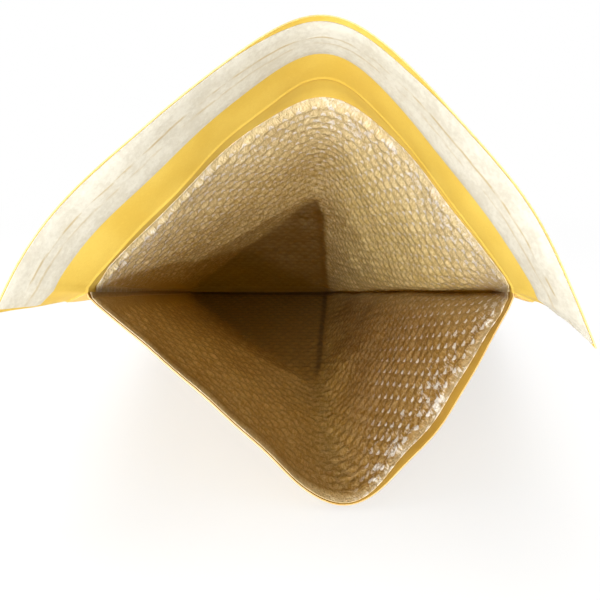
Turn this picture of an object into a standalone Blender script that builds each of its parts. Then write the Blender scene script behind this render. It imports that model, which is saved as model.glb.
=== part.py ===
"""Padded envelope: a kraft mailer lined with bubble film, opened at its mouth.

The kraft is one sheet. It is folded at the bottom, sealed along both sides, and its back panel
runs on past the mouth as the flap, with an adhesive strip under a release liner.
The envelope lies on its front panel, with the mouth towards -Y. The origin is on the table,
under the flat of the front panel.
"""
import math

import bmesh
import bpy
import numpy as np

MM = 0.001

# Flat sizes of the sheet
POCKET_WIDTH = 270 * MM
POCKET_DEPTH = 350 * MM
SEAL_WIDTH = 10 * MM
FLAP_LENGTH = 50 * MM

# Thicknesses and clearances
KRAFT = 0.6 * MM
FILM = 3.0 * MM
FILM_AT_SEAL = 0.5 * MM
FILM_AT_FOLD = 1.2 * MM
FILM_AT_RIM = 0.9 * MM
CRUSH_LENGTH = 16 * MM
GAP = 0.3 * MM

# Bubble film pouch
BACK_SETBACK = 10 * MM
FRONT_SETBACK = 2 * MM
SEAL_CLEARANCE = 1.8 * MM
FILM_EDGE = 0.8 * MM
FOLD_PUSH = 1.2 * MM
BUBBLE_RELIEF = 1.6 * MM

# Adhesive strip and its release liner, on the inside of the flap
STRIP_INSET = 3 * MM
RELEASE_WIDTH = 24 * MM
RELEASE_END = 1.5 * MM
RELEASE_THICKNESS = 0.4 * MM
ADHESIVE_WIDTH = 18 * MM
ADHESIVE_END = 12 * MM
ADHESIVE_THICKNESS = 0.3 * MM

# Shape that the open envelope has taken: heights are measured from the plane of the side seams
MOUTH_SPREAD = 188 * MM
MOUTH_SET_BACK = 12 * MM
BACK_RIDGE = 107 * MM
BACK_RIDGE_ACROSS = 12 * MM
FRONT_RIDGE = 107.5 * MM
FRONT_RIDGE_ACROSS = 20.5 * MM
KNEE_DEPTH = 140 * MM
KNEE_ACROSS = 13.5 * MM
BACK_KNEE = 66 * MM
PINCH_ACROSS = 27 * MM
FOLD_LEFT_SPREAD = 15 * MM
FOLD_RIGHT_RISE = 5 * MM
MOUTH_ROUNDING = 19 * MM
KNEE_ROUNDING = 6 * MM
BACK_BULGE = (4 * MM, 3.5 * MM)
FRONT_BULGE = (-2 * MM, 7 * MM)
SEAL_DROOP = 24.0
FLAP_RISE = 13 * MM
FLAP_CREST_SHIFT = -1 * MM
FLAP_LEFT_FLARE = 18 * MM
FLAP_RIGHT_FLARE = 14 * MM
FLAP_LEFT_DROP = 8 * MM
FLAP_RIGHT_DROP = 21 * MM
FLAP_LEFT_SHOULDER = (-6 * MM, 26 * MM)
FLAP_RIGHT_SHOULDER = (-1 * MM, 26 * MM)
FLAP_ROUNDING = 26 * MM
FLAP_CURL = 0.8
KEEL_PRESS = 1.0 * MM
FOLD_PRESS = 0.1 * MM
REST_DEPTH = 290 * MM
REST_ACROSS = -22 * MM

# Mesh density
COLUMNS = 36
POCKET_ROWS = 21
SAMPLES = 540


def lerp(a, b, t):
    return np.asarray(a) + (np.asarray(b) - np.asarray(a)) * t


def smoothstep(t):
    t = np.clip(t, 0.0, 1.0)
    return t * t * (3 - 2 * t)


# Corners of the folded shape as (across, height, depth), depth running from the mouth inwards

HALF_SPREAD = MOUTH_SPREAD / 2
SEAM_LEFT = np.array([-HALF_SPREAD, 0, 0])
SEAM_RIGHT = np.array([HALF_SPREAD, 0, 0])
FOLD_LEFT = np.array([-HALF_SPREAD - FOLD_LEFT_SPREAD, 0, POCKET_DEPTH])
FOLD_RIGHT = np.array([FOLD_LEFT[0] + POCKET_WIDTH, 0, POCKET_DEPTH - FOLD_RIGHT_RISE])
PINCH_END = np.array([PINCH_ACROSS, 0, POCKET_DEPTH - FOLD_RIGHT_RISE / 2])

# The table runs under the keel of the front panel and under the bottom fold
STACK = GAP + FILM + GAP + KRAFT
KEEL_AT_MOUTH = FRONT_RIDGE - 0.52 * MOUTH_ROUNDING + STACK
KEEL_AT_FOLD = GAP + FILM_AT_FOLD + GAP + KRAFT
TABLE_RUN = POCKET_DEPTH - MOUTH_SET_BACK
TABLE_TILT = math.atan2(KEEL_AT_MOUTH - KEEL_PRESS - KEEL_AT_FOLD, TABLE_RUN)
FRONT_KNEE = (KEEL_AT_FOLD + (POCKET_DEPTH - KNEE_DEPTH) * math.tan(TABLE_TILT)
              + 0.52 * KNEE_ROUNDING - STACK / math.cos(TABLE_TILT) + KEEL_PRESS)

RIDGES = {
    "back": (np.array([BACK_RIDGE_ACROSS, BACK_RIDGE, MOUTH_SET_BACK]),
             np.array([KNEE_ACROSS, BACK_KNEE, KNEE_DEPTH]), BACK_BULGE),
    "front": (np.array([FRONT_RIDGE_ACROSS, -FRONT_RIDGE, MOUTH_SET_BACK]),
              np.array([KNEE_ACROSS, -FRONT_KNEE, KNEE_DEPTH]), FRONT_BULGE),
}
KNEE = KNEE_DEPTH / POCKET_DEPTH


def resample(points, count):
    """Points spaced evenly by length along a polyline."""
    steps = np.linalg.norm(np.diff(points, axis=0), axis=1)
    length = np.concatenate([[0], np.cumsum(steps)])
    at = np.linspace(0, length[-1], count)
    return np.stack([np.interp(at, length, points[:, k]) for k in range(3)], axis=1), length[-1]


def rounded(points, width):
    """The polyline with its corners rounded by a bell-shaped average; its ends stay in place."""
    line, length = resample(np.asarray(points, float), SAMPLES)
    reach = SAMPLES // 2
    before = 2 * line[0] - line[reach:0:-1]
    after = 2 * line[-1] - line[-2:-reach - 2:-1]
    padded = np.concatenate([before, line, after])
    spacing = length / (SAMPLES - 1)
    half = min(reach, max(2, int(3 * width / spacing)))
    bell = np.exp(-0.5 * (np.arange(-half, half + 1) * spacing / width) ** 2)
    bell /= bell.sum()
    smooth = np.stack([np.convolve(padded[:, k], bell, "same") for k in range(3)], axis=1)
    return smooth[reach:reach + SAMPLES]


def bowed(start, end, bulge, side):
    """A wall's line across the panel, bulged outwards by a sine."""
    t = np.linspace(0, 1, 40)[:, None]
    run = end - start
    outward = np.array([-run[1], run[0], 0.0])
    outward *= side / max(np.linalg.norm(outward), 1e-9)
    return start + run * t + outward * bulge * np.sin(math.pi * t)


def section(panel, v):
    """One line across a panel, from the left seam to the right, at the fraction v of the depth."""
    ridge, knee, bulge = RIDGES[panel]
    left = lerp(SEAM_LEFT, FOLD_LEFT, v)
    right = lerp(SEAM_RIGHT, FOLD_RIGHT, v)
    pinch = lerp(SEAM_RIGHT, PINCH_END, v)
    if v <= KNEE:
        crest_left = crest_right = lerp(ridge, knee, v / KNEE)
    else:
        crest_left = lerp(knee, FOLD_LEFT, (v - KNEE) / (1 - KNEE))
        crest_right = lerp(knee, PINCH_END, (v - KNEE) / (1 - KNEE))
    side = 1 if panel == "back" else -1
    fade = max(0.0, 1 - v / KNEE) ** 1.3
    wall = bowed(crest_right, pinch, bulge[1] * fade, side)
    wall_left = bowed(left, crest_left, bulge[0] * fade, side)
    line = np.concatenate([wall_left, crest_right[None], wall[1:], right[None]])
    line = line[np.concatenate([[True], np.linalg.norm(np.diff(line, axis=0), axis=1) > 1e-7])]
    width = lerp(MOUTH_ROUNDING, KNEE_ROUNDING, smoothstep(v / KNEE))
    return rounded(line, float(width))


def across(line, u):
    """Points of a section at the flat positions u, from -1 at the left seam to 1 at the right."""
    at = (np.asarray(u) + 1) / 2 * (len(line) - 1)
    index = np.arange(len(line))
    return np.stack([np.interp(at, index, line[:, k]) for k in range(3)], axis=1)


def panel_points(panel, depths, flats):
    """The middle surface of a panel on a grid of flat positions, seals included."""
    half = POCKET_WIDTH / 2
    flats = np.asarray(flats)
    rows = []
    for depth in depths:
        v = depth / POCKET_DEPTH
        line = resample(section(panel, v), SAMPLES)[0]
        row = across(line, np.clip(flats / half, -1, 1))
        droop = math.radians(SEAL_DROOP) * (1 - smoothstep(depth / KNEE_DEPTH))
        past = np.clip(np.abs(flats) - half, 0, None)[:, None]
        outward = np.stack([np.sign(flats) * math.cos(droop), -np.full(len(flats), math.sin(droop)),
                            np.zeros(len(flats))], axis=1)
        rows.append(row + past * outward)
    return np.array(rows)


def flap_edge(flats):
    """The free edge of the flap, as an arch from its left end to its right."""
    left = SEAM_LEFT + [-FLAP_LEFT_FLARE, -FLAP_LEFT_DROP, -FLAP_LENGTH]
    right = SEAM_RIGHT + [FLAP_RIGHT_FLARE, -FLAP_RIGHT_DROP, -FLAP_LENGTH]
    crest = RIDGES["back"][0] + [FLAP_CREST_SHIFT, FLAP_RISE, -FLAP_LENGTH]
    arch = [left, SEAM_LEFT + [*FLAP_LEFT_SHOULDER, -FLAP_LENGTH], crest,
            SEAM_RIGHT + [*FLAP_RIGHT_SHOULDER, -FLAP_LENGTH], right]
    line = resample(rounded(arch, FLAP_ROUNDING), SAMPLES)[0]
    return across(line, np.asarray(flats) / (POCKET_WIDTH / 2 + SEAL_WIDTH))


def normals(grid, side):
    """Unit normals of a grid of points, turned out of the pocket."""
    down = np.gradient(grid, axis=0)
    over = np.gradient(grid, axis=1)
    normal = np.cross(down, over) * side
    return normal / np.maximum(np.linalg.norm(normal, axis=2, keepdims=True), 1e-12)


SIDES = {"back": 1, "front": -1}


def film_thickness(flats, depths):
    """The film is full in the open and crushed thin at its side seals and its fold."""
    from_seal = (POCKET_WIDTH / 2 - SEAL_CLEARANCE) - np.abs(np.asarray(flats))
    from_rim = np.asarray(depths)
    seal = lerp(FILM_AT_SEAL, FILM, smoothstep(from_seal / CRUSH_LENGTH))
    fold = lerp(FILM_AT_FOLD, FILM, smoothstep((POCKET_DEPTH - from_rim) / CRUSH_LENGTH))
    rim = lerp(FILM_AT_RIM, FILM, smoothstep(from_rim / CRUSH_LENGTH))
    return np.minimum(np.minimum(fold, rim)[:, None], seal[None, :])


def to_world(points, floor):
    """Local (across, height, depth) turned so that the keel and the fold lie on the table."""
    x, h, d = np.moveaxis(np.asarray(points, float), -1, 0)
    lift = KEEL_AT_FOLD - FOLD_PRESS
    y = (d - REST_DEPTH) * math.cos(TABLE_TILT) + h * math.sin(TABLE_TILT)
    z = (POCKET_DEPTH - d) * math.sin(TABLE_TILT) + (h + lift) * math.cos(TABLE_TILT)
    return np.stack([x - REST_ACROSS, y, np.maximum(z, floor)], axis=-1)


# Stations where the sheet's grid lines lie

def pocket_columns():
    half = POCKET_WIDTH / 2 - SEAL_CLEARANCE
    return list(np.linspace(-half, half, COLUMNS + 1))


def pocket_rows():
    near_fold = [POCKET_DEPTH - CRUSH_LENGTH, POCKET_DEPTH - CRUSH_LENGTH / 3, POCKET_DEPTH]
    to_knee = np.linspace(BACK_SETBACK, KNEE_DEPTH, POCKET_ROWS // 2 + 1)
    past_knee = np.linspace(KNEE_DEPTH, POCKET_DEPTH - CRUSH_LENGTH, POCKET_ROWS // 2 + 1)
    return list(to_knee) + list(past_knee[1:-1]) + near_fold


def kraft_columns():
    seam, edge = POCKET_WIDTH / 2, POCKET_WIDTH / 2 + SEAL_WIDTH
    return [-edge, -seam] + pocket_columns()[1:-1] + [seam, edge]


# Kraft sheet, folded and layered over the film

def kraft_inside(panel, depths, flats):
    """The inner face of the kraft over the pocket, clear of the film."""
    middle = panel_points(panel, depths, flats)
    lift = film_thickness(flats, depths) + 2 * GAP
    lift[:, np.abs(np.asarray(flats)) >= POCKET_WIDTH / 2 - 1e-9] = 0.0
    return middle + normals(middle, SIDES[panel]) * lift[..., None]


def kraft_flap(mouth_row, flats, reaches):
    """The inner face of the flap at the given distances past the mouth.

    On the right the flap starts along the pocket and then curls away from it."""
    edge = flap_edge(flats)
    curl = 1 + FLAP_CURL * smoothstep(np.asarray(flats) / (POCKET_WIDTH / 4))
    rows = []
    for reach in reaches:
        row = lerp(mouth_row, edge, reach / FLAP_LENGTH)
        away = ((reach / FLAP_LENGTH) ** curl)[:, None]
        row[:, :2] = lerp(mouth_row[:, :2], edge[:, :2], away)
        rows.append(row)
    return np.array(rows)


STRIP_MIDDLE = FLAP_LENGTH - STRIP_INSET - RELEASE_WIDTH / 2
RELEASE_ROWS = [STRIP_MIDDLE + half * RELEASE_WIDTH / 2 for half in (1, -1)]
ADHESIVE_ROWS = [STRIP_MIDDLE + part * ADHESIVE_WIDTH / 2 for part in (1, 0, -1)]
STRIP_ROWS = sorted(RELEASE_ROWS + ADHESIVE_ROWS, reverse=True)
FLAP_ROWS = [FLAP_LENGTH] + STRIP_ROWS + [STRIP_ROWS[-1] / 2]


def kraft_layers():
    """Inner and outer faces of the whole kraft sheet, from the flap's edge to the front rim."""
    flats = kraft_columns()
    depths = [0.0] + pocket_rows()
    back = kraft_inside("back", depths, flats)
    flap = kraft_flap(back[0], flats, FLAP_ROWS)
    back = np.concatenate([flap, back])
    front = kraft_inside("front", depths, flats)
    back_out = back + normals(back, SIDES["back"]) * KRAFT
    front_out = front + normals(front, SIDES["front"]) * KRAFT
    push = FILM_AT_FOLD + FOLD_PUSH + GAP
    fold = (back[-1] + front[-1]) / 2 + [0, 0, push]
    seal = np.abs(np.asarray(flats)) >= POCKET_WIDTH / 2 - 1e-9
    fold[seal] = back[-1][seal]
    fold_out = fold + [0, 0, KRAFT]
    inner = np.concatenate([back, fold[None], front[::-1]])
    outer = np.concatenate([back_out, fold_out[None], front_out[::-1]])
    return to_world(inner, KRAFT), to_world(outer, 0.0), flats, len(FLAP_ROWS)


def between_bubbles(rows, columns):
    """1 at the grid points between the film's bubbles, which are staggered, and 0 elsewhere."""
    row, column = np.indices((rows, columns))
    inside = (column > 0) & (column < columns - 1) & (row < rows - 2)
    return ((row + column) % 2) * inside


def film_layers():
    """Inner and outer faces of the bubble film pouch, from its back edge to its front edge."""
    flats = pocket_columns()
    depths = pocket_rows()
    middles = {panel: panel_points(panel, depths, flats) for panel in SIDES}
    rim = panel_points("front", [FRONT_SETBACK], flats)[0]
    from_seal = POCKET_WIDTH / 2 - SEAL_CLEARANCE - np.abs(flats)
    middles["front"][0] = lerp(middles["front"][0], rim, smoothstep(from_seal / CRUSH_LENGTH)[:, None])
    inner, outer = {}, {}
    stations = {"back": depths, "front": [FRONT_SETBACK] + depths[1:]}
    thick = {panel: film_thickness(flats, stations[panel]) for panel in SIDES}
    dip = BUBBLE_RELIEF / FILM * between_bubbles(len(depths), len(flats))
    for panel, middle in middles.items():
        normal = normals(middle, SIDES[panel])
        inner[panel] = middle + normal * (GAP + thick[panel] * dip)[..., None]
        outer[panel] = middle + normal * (GAP + thick[panel])[..., None]
        seam = panel_points(panel, depths, [-POCKET_WIDTH / 2, POCKET_WIDTH / 2])
        for column, side in ((0, -1), (-1, 1)):
            root = seam[:, column] - [side * SEAL_CLEARANCE, 0, 0]
            inner[panel][:, column] = root
            outer[panel][:, column] = root + [side * FILM_EDGE, 0, 0]
    fold_in = (inner["back"][-1] + inner["front"][-1]) / 2 + [0, 0, GAP]
    fold_out = (outer["back"][-1] + outer["front"][-1]) / 2 + [0, 0, FILM_AT_FOLD + GAP]
    for column in (0, -1):
        fold_in[column] = inner["back"][-1][column]
        fold_out[column] = outer["back"][-1][column]
    inside = np.concatenate([inner["back"], fold_in[None], inner["front"][::-1]])
    outside = np.concatenate([outer["back"], fold_out[None], outer["front"][::-1]])
    floor = KRAFT + GAP
    film = np.full(inside.shape[:2], FILM_AT_FOLD)
    film[:len(depths)] = thick["back"]
    film[len(depths) + 1:] = thick["front"][::-1]
    return to_world(inside, floor + film), to_world(outside, floor), flats


def slab(name, inner, outer, bonded=None):
    """A flat two-faced sheet with a grid on it, folded into place and welded where it meets itself.

    bonded(row, column, layer) is true for the faces that are lost where the sheet is bonded."""
    rows, columns = inner.shape[:2]
    mesh = bmesh.new()
    bmesh.ops.create_grid(mesh, x_segments=columns - 1, y_segments=rows - 1, size=1.0)
    for vert in mesh.verts:
        vert.co.x = round((vert.co.x + 1) / 2 * (columns - 1))
        vert.co.y = round((vert.co.y + 1) / 2 * (rows - 1))
    raised = bmesh.ops.extrude_face_region(mesh, geom=mesh.faces[:], use_keep_orig=True)
    top = [item for item in raised["geom"] if isinstance(item, bmesh.types.BMVert)]
    bmesh.ops.translate(mesh, verts=top, vec=(0, 0, 1))
    if bonded:
        middles = {face: face.calc_center_median() for face in mesh.faces}
        lost = [face for face, middle in middles.items() if bonded(middle.y, middle.x, middle.z)]
        bmesh.ops.delete(mesh, geom=lost, context="FACES")
    for vert in mesh.verts:
        layer = outer if vert.co.z > 0.5 else inner
        vert.co = layer[round(vert.co.y), round(vert.co.x)]
    bmesh.ops.remove_doubles(mesh, verts=mesh.verts, dist=2e-6)
    bmesh.ops.dissolve_degenerate(mesh, edges=mesh.edges, dist=1e-6)
    bmesh.ops.triangulate(mesh, faces=mesh.faces)
    bmesh.ops.recalc_face_normals(mesh, faces=mesh.faces)
    data = bpy.data.meshes.new(name)
    mesh.to_mesh(data)
    mesh.free()
    part = bpy.data.objects.new(name, data)
    bpy.context.scene.collection.objects.link(part)
    data.shade_smooth()
    return part


def finish(part, colour, roughness, alpha=1.0):
    material = bpy.data.materials.new(part.name)
    material.use_nodes = True
    shader = material.node_tree.nodes["Principled BSDF"]
    shader.inputs["Base Color"].default_value = (*colour, 1)
    shader.inputs["Roughness"].default_value = roughness
    shader.inputs["Metallic"].default_value = 0.0
    shader.inputs["Alpha"].default_value = alpha
    part.data.materials.append(material)


# Adhesive strip and release liner, stacked on the flap's inner face

def flap_strip(name, reaches, end, gap_under, thickness):
    """A thin band along the flap's free edge, bent at the same lines as the kraft under it."""
    columns = kraft_columns()
    half = POCKET_WIDTH / 2 + SEAL_WIDTH - end
    flats = [-half] + [flat for flat in columns if abs(flat) < half - GAP] + [half]
    mouth = kraft_inside("back", [0.0, BACK_SETBACK], columns)[0]
    face = kraft_flap(mouth, columns, reaches)
    inward = -normals(face, SIDES["back"])
    layers = []
    for depth in (gap_under, gap_under + thickness):
        layer = face + inward * depth
        bent = [[np.interp(flats, columns, row[:, k]) for k in range(3)] for row in layer]
        layers.append(to_world(np.moveaxis(bent, 1, 2), 0.0))
    return slab(name, *layers)


for leftover in list(bpy.data.objects):
    bpy.data.objects.remove(leftover)

kraft_in, kraft_out, kraft_flats, mouth_index = kraft_layers()


def in_seal(row, column, layer):
    """The inner face over the two side seals of the pocket, where back and front are bonded."""
    last = len(kraft_flats) - 1
    at_end = 0 < column < 1 or last - 1 < column < last
    return layer < 0.1 and row > mouth_index and at_end


def at_side(row, column, layer):
    """The cut side edges of the film, which are melted together in the seals."""
    last = len(film_flats) - 1
    return 0.1 < layer < 0.9 and (column < 0.1 or column > last - 0.1)


kraft = slab("kraft_outer", kraft_in, kraft_out, in_seal)
finish(kraft, (0.83, 0.56, 0.13), 0.55)

film_in, film_out, film_flats = film_layers()
pouch = slab("bubble_liner", film_in, film_out, at_side)
finish(pouch, (0.72, 0.55, 0.28), 0.18)

adhesive = flap_strip("adhesive_strip", ADHESIVE_ROWS, ADHESIVE_END, GAP, ADHESIVE_THICKNESS)
finish(adhesive, (0.85, 0.80, 0.62), 0.30)
release = flap_strip("release_liner", STRIP_ROWS, RELEASE_END,
                     GAP + ADHESIVE_THICKNESS + GAP, RELEASE_THICKNESS)
finish(release, (0.86, 0.85, 0.80), 0.42)
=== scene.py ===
"""The look of the padded envelope: golden kraft, bubble film and the flap's peel-off strip.

Sizes are in metres. The sheet is folded as the solids are, on a finer grid of lines.
"""
import math
import random

import bmesh
import bpy
import numpy as np
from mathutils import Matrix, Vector


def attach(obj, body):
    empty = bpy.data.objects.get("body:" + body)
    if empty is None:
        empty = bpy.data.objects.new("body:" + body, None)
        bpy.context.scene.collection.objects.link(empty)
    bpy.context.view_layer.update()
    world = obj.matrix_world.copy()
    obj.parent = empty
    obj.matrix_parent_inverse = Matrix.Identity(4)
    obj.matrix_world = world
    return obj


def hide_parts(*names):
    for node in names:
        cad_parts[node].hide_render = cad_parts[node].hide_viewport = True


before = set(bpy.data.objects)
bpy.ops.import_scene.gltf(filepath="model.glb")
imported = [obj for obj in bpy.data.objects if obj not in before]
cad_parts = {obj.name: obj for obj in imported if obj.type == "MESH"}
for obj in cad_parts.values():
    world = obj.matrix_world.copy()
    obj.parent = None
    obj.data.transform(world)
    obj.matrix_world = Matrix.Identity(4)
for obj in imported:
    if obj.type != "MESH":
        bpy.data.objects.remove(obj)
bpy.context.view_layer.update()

# Kraft sheet
# One sheet of golden kraft paper, folded at the bottom of the pocket and bonded to itself along
# both sides in heat-pressed seals. The back panel runs on past a pressed score line as the flap.
# The sheet is drawn flat, as a grid with an inner and an outer face, and then folded into place.

# The flat sheets, their thicknesses, and the gaps that keep them apart.
MM = 0.001
POCKET_WIDTH = 270 * MM
POCKET_DEPTH = 350 * MM
SEAL_WIDTH = 10 * MM
FLAP_LENGTH = 50 * MM
KRAFT = 0.6 * MM
FILM = 3.0 * MM
FILM_AT_SEAL = 0.5 * MM
FILM_AT_FOLD = 1.2 * MM
FILM_AT_RIM = 0.9 * MM
CRUSH_LENGTH = 16 * MM
GAP = 0.3 * MM
SEAL_CLEARANCE = 1.8 * MM
FOLD_PUSH = 1.2 * MM

# How the pocket stands open on the table, and how the flap bends back.
MOUTH_SPREAD = 188 * MM
MOUTH_SET_BACK = 12 * MM
BACK_RIDGE = 107 * MM
BACK_RIDGE_ACROSS = 12 * MM
FRONT_RIDGE = 107.5 * MM
FRONT_RIDGE_ACROSS = 20.5 * MM
KNEE_DEPTH = 140 * MM
KNEE_ACROSS = 13.5 * MM
BACK_KNEE = 66 * MM
PINCH_ACROSS = 27 * MM
FOLD_LEFT_SPREAD = 15 * MM
FOLD_RIGHT_RISE = 5 * MM
MOUTH_ROUNDING = 19 * MM
KNEE_ROUNDING = 6 * MM
SAG_PER_ROUNDING = 0.52
BACK_BULGE = (4 * MM, 3.5 * MM)
FRONT_BULGE = (-2 * MM, 7 * MM)
SEAL_DROOP = 24.0
FLAP_RISE = 13 * MM
FLAP_CREST_SHIFT = -1 * MM
FLAP_LEFT_FLARE = 18 * MM
FLAP_RIGHT_FLARE = 14 * MM
FLAP_LEFT_DROP = 8 * MM
FLAP_RIGHT_DROP = 21 * MM
FLAP_LEFT_SHOULDER = (-6 * MM, 26 * MM)
FLAP_RIGHT_SHOULDER = (-1 * MM, 26 * MM)
FLAP_ROUNDING = 26 * MM
FLAP_CURL = 0.8
KEEL_PRESS = 1.0 * MM
FOLD_PRESS = 0.1 * MM
REST_DEPTH = 290 * MM
REST_ACROSS = -22 * MM

# How finely the sheet is divided, its score line, and the paper's slow unevenness.
SAMPLES = 540
POCKET_LINES = 131
FLAP_LINES = 29
PANEL_COLUMNS = 105
SEAL_LINES = 6
SCORE_LINES = (0.4 * MM, 0.9 * MM, 1.5 * MM, 2.3 * MM)
SCORE_BEAD = 0.45 * MM
SCORE_WIDTH = 0.9 * MM
COCKLE = 0.9 * MM
COCKLE_LENGTH = 55 * MM
FLAP_COCKLE = 0.8 * MM

FILM_HALF = POCKET_WIDTH / 2 - SEAL_CLEARANCE
FLAP_ROWS = sorted({*np.linspace(0, FLAP_LENGTH, FLAP_LINES), *SCORE_LINES}, reverse=True)
POCKET_ROWS = sorted({*np.linspace(0, POCKET_DEPTH, POCKET_LINES), *SCORE_LINES})
SEAL_COLUMNS = np.linspace(POCKET_WIDTH / 2, POCKET_WIDTH / 2 + SEAL_WIDTH, SEAL_LINES)
KRAFT_COLUMNS = np.concatenate([
    -SEAL_COLUMNS[::-1], np.linspace(-FILM_HALF, FILM_HALF, PANEL_COLUMNS), SEAL_COLUMNS])


def lerp(a, b, t):
    return np.asarray(a) + (np.asarray(b) - np.asarray(a)) * t


def smoothstep(t):
    t = np.clip(t, 0.0, 1.0)
    return t * t * (3 - 2 * t)


HALF_SPREAD = MOUTH_SPREAD / 2
SEAM_LEFT = np.array([-HALF_SPREAD, 0, 0])
SEAM_RIGHT = np.array([HALF_SPREAD, 0, 0])
FOLD_LEFT = np.array([-HALF_SPREAD - FOLD_LEFT_SPREAD, 0, POCKET_DEPTH])
FOLD_RIGHT = np.array([FOLD_LEFT[0] + POCKET_WIDTH, 0, POCKET_DEPTH - FOLD_RIGHT_RISE])
PINCH_END = np.array([PINCH_ACROSS, 0, POCKET_DEPTH - FOLD_RIGHT_RISE / 2])

STACK = GAP + FILM + GAP + KRAFT
KEEL_AT_MOUTH = FRONT_RIDGE - SAG_PER_ROUNDING * MOUTH_ROUNDING + STACK
KEEL_AT_FOLD = GAP + FILM_AT_FOLD + GAP + KRAFT
TABLE_RUN = POCKET_DEPTH - MOUTH_SET_BACK
TABLE_TILT = math.atan2(KEEL_AT_MOUTH - KEEL_PRESS - KEEL_AT_FOLD, TABLE_RUN)
FRONT_KNEE = (KEEL_AT_FOLD + (POCKET_DEPTH - KNEE_DEPTH) * math.tan(TABLE_TILT)
              + SAG_PER_ROUNDING * KNEE_ROUNDING - STACK / math.cos(TABLE_TILT) + KEEL_PRESS)

RIDGES = {
    "back": (np.array([BACK_RIDGE_ACROSS, BACK_RIDGE, MOUTH_SET_BACK]),
             np.array([KNEE_ACROSS, BACK_KNEE, KNEE_DEPTH]), BACK_BULGE),
    "front": (np.array([FRONT_RIDGE_ACROSS, -FRONT_RIDGE, MOUTH_SET_BACK]),
              np.array([KNEE_ACROSS, -FRONT_KNEE, KNEE_DEPTH]), FRONT_BULGE),
}
SIDES = {"back": 1, "front": -1}
KNEE = KNEE_DEPTH / POCKET_DEPTH
WAVE_SEEDS = {"back": 11, "front": 12, "flap": 13}


def resample(points, count):
    """Points spaced evenly by length along a polyline."""
    steps = np.linalg.norm(np.diff(points, axis=0), axis=1)
    length = np.concatenate([[0], np.cumsum(steps)])
    at = np.linspace(0, length[-1], count)
    return np.stack([np.interp(at, length, points[:, k]) for k in range(3)], axis=1), length[-1]


def rounded(points, width):
    """The polyline with its corners rounded by a bell-shaped average; its ends stay in place."""
    line, length = resample(np.asarray(points, float), SAMPLES)
    reach = SAMPLES // 2
    before = 2 * line[0] - line[reach:0:-1]
    after = 2 * line[-1] - line[-2:-reach - 2:-1]
    padded = np.concatenate([before, line, after])
    spacing = length / (SAMPLES - 1)
    half = min(reach, max(2, int(3 * width / spacing)))
    bell = np.exp(-0.5 * (np.arange(-half, half + 1) * spacing / width) ** 2)
    bell /= bell.sum()
    smooth = np.stack([np.convolve(padded[:, k], bell, "same") for k in range(3)], axis=1)
    return smooth[reach:reach + SAMPLES]


def bowed(start, end, bulge, side):
    """A wall's line across the panel, bulged outwards by a sine."""
    t = np.linspace(0, 1, 40)[:, None]
    run = end - start
    outward = np.array([-run[1], run[0], 0.0])
    outward *= side / max(np.linalg.norm(outward), 1e-9)
    return start + run * t + outward * bulge * np.sin(math.pi * t)


def section(panel, v):
    """One line across a panel, from the left seam to the right, at the fraction v of the depth."""
    ridge, knee, bulge = RIDGES[panel]
    left = lerp(SEAM_LEFT, FOLD_LEFT, v)
    right = lerp(SEAM_RIGHT, FOLD_RIGHT, v)
    pinch = lerp(SEAM_RIGHT, PINCH_END, v)
    if v <= KNEE:
        crest_left = crest_right = lerp(ridge, knee, v / KNEE)
    else:
        crest_left = lerp(knee, FOLD_LEFT, (v - KNEE) / (1 - KNEE))
        crest_right = lerp(knee, PINCH_END, (v - KNEE) / (1 - KNEE))
    side = SIDES[panel]
    fade = max(0.0, 1 - v / KNEE) ** 1.3
    wall = bowed(crest_right, pinch, bulge[1] * fade, side)
    wall_left = bowed(left, crest_left, bulge[0] * fade, side)
    line = np.concatenate([wall_left, crest_right[None], wall[1:], right[None]])
    line = line[np.concatenate([[True], np.linalg.norm(np.diff(line, axis=0), axis=1) > 1e-7])]
    width = lerp(MOUTH_ROUNDING, KNEE_ROUNDING, smoothstep(v / KNEE))
    return rounded(line, float(width))


def across(line, u):
    """Points of a section at the flat positions u, from -1 at the left seam to 1 at the right."""
    at = (np.asarray(u) + 1) / 2 * (len(line) - 1)
    index = np.arange(len(line))
    return np.stack([np.interp(at, index, line[:, k]) for k in range(3)], axis=1)


def normals(grid, side):
    """Unit normals of a grid of points, turned out of the pocket."""
    normal = np.cross(np.gradient(grid, axis=0), np.gradient(grid, axis=1)) * side
    return normal / np.maximum(np.linalg.norm(normal, axis=2, keepdims=True), 1e-12)


def waves(kind, lengths, flats, spacing):
    """The slow unevenness of paper that has been opened by hand, between about -1 and 1."""
    chance = random.Random(WAVE_SEEDS[kind])
    v, u = np.meshgrid(lengths, flats, indexing="ij")
    total = np.zeros(u.shape)
    for _ in range(9):
        heading = chance.uniform(0, math.pi)
        turns = 2 * math.pi / (spacing * chance.uniform(0.6, 1.8))
        along = u * math.cos(heading) + v * math.sin(heading)
        total += np.sin(turns * along + chance.uniform(0, 2 * math.pi))
    return total / 4


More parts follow.
